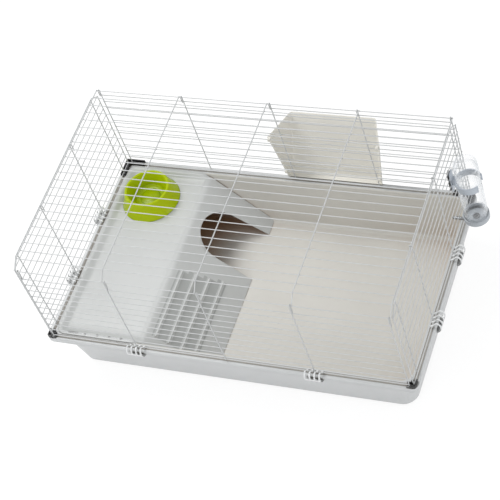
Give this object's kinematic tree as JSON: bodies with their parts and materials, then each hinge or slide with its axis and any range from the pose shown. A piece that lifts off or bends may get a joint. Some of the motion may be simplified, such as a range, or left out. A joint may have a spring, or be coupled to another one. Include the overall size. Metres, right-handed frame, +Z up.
{
  "type": "rabbit cage",
  "caption": "Indoor rabbit cage: a deep moulded tray with a hinged wire top, clips round the rim, a house with shelf and ramp, food bowl, hay rack and drinking bottle.",
  "frame": {"origin": "on the surface it stands on, under the middle of the tray", "axes": "+X to the right along the tray's length, as seen from the front; +Y to the back, where the hay rack hangs; +Z up"},
  "size_m": [1.027, 0.6667, 0.4355],
  "materials": {
    "wire": "satin off-white stove enamel over galvanised steel wire",
    "tray_plastic": "satin light grey moulded plastic",
    "house_plastic": "satin light grey moulded plastic",
    "bowl_plastic": "glossy lime green plastic",
    "rack_plastic": "frosted beige plastic",
    "black_plastic": "satin black plastic",
    "clip_plastic": "satin light grey plastic",
    "bottle_clear": "clear plastic",
    "grey_plastic": "glossy grey plastic",
    "bracket_plastic": "satin grey plastic",
    "seal_rubber": "matt black rubber",
    "steel": "bright stainless steel"
  },
  "bodies": {
    "base": {"back_panel": "wire", "bottle_bracket": "bracket_plastic", "bottle_cap": "grey_plastic", "bracket_lock_plate": "black_plastic", "cap_seal": "seal_rubber", "coupling_back_left": "black_plastic", "coupling_back_right": "black_plastic", "coupling_front_left": "black_plastic", "coupling_front_right": "black_plastic", "house": "house_plastic", "left_panel": "wire", "right_panel": "wire", "spout_tube": "steel", "top_panel": "wire", "tray": "tray_plastic"},
    "front": {"front_panel": "wire"},
    "bowl": {"food_bowl": "bowl_plastic"},
    "rack": {"hay_rack": "rack_plastic"},
    "bottle": {"bottle_body": "bottle_clear"},
    "ball": {"spout_ball": "steel"},
    "clip_front_left": {"clip_front_left": "clip_plastic"},
    "clip_front_right": {"clip_front_right": "clip_plastic"},
    "clip_left_front": {"clip_left_front": "clip_plastic"},
    "clip_left_back": {"clip_left_back": "clip_plastic"},
    "clip_right_front": {"clip_right_front": "clip_plastic"},
    "clip_right_back": {"clip_right_back": "clip_plastic"}
  },
  "joints": [
    {"name": "front_swing", "type": "hinge", "parent": "base", "child": "front", "pos_m": [0, -0.2747, 0.41], "axis": [-1, 0, 0], "range_deg": [0, 200]},
    {"name": "bowl_lift", "type": "slide", "parent": "base", "child": "bowl", "axis": [0, 0, 1], "range_m": [0, 0.1]},
    {"name": "rack_lift", "type": "slide", "parent": "base", "child": "rack", "axis": [0, 0, 1], "range_m": [0, 0.012]},
    {"name": "bottle_turn", "type": "hinge", "parent": "base", "child": "bottle", "pos_m": [0.507, 0.175, 0.3], "axis": [0, 0, 1], "continuous": true},
    {"name": "ball_travel", "type": "slide", "parent": "base", "child": "ball", "axis": [1, 0, 0], "range_m": [0, 0.002]},
    {"name": "clip_front_left_turn", "type": "hinge", "parent": "front", "child": "clip_front_left", "pos_m": [-0.2275, -0.2755, 0.151], "axis": [-1, 0, 0], "range_deg": [0, 48]},
    {"name": "clip_front_right_turn", "type": "hinge", "parent": "front", "child": "clip_front_right", "pos_m": [0.2275, -0.2755, 0.151], "axis": [-1, 0, 0], "range_deg": [0, 48]},
    {"name": "clip_left_front_turn", "type": "hinge", "parent": "base", "child": "clip_left_front", "pos_m": [-0.4645, -0.0963, 0.151], "axis": [0, 1, 0], "range_deg": [0, 48]},
    {"name": "clip_left_back_turn", "type": "hinge", "parent": "base", "child": "clip_left_back", "pos_m": [-0.4645, 0.09518, 0.151], "axis": [0, 1, 0], "range_deg": [0, 48]},
    {"name": "clip_right_front_turn", "type": "hinge", "parent": "base", "child": "clip_right_front", "pos_m": [0.4645, -0.0963, 0.151], "axis": [0, -1, 0], "range_deg": [0, 48]},
    {"name": "clip_right_back_turn", "type": "hinge", "parent": "base", "child": "clip_right_back", "pos_m": [0.4645, 0.09518, 0.151], "axis": [0, -1, 0], "range_deg": [0, 48]}
  ]
}
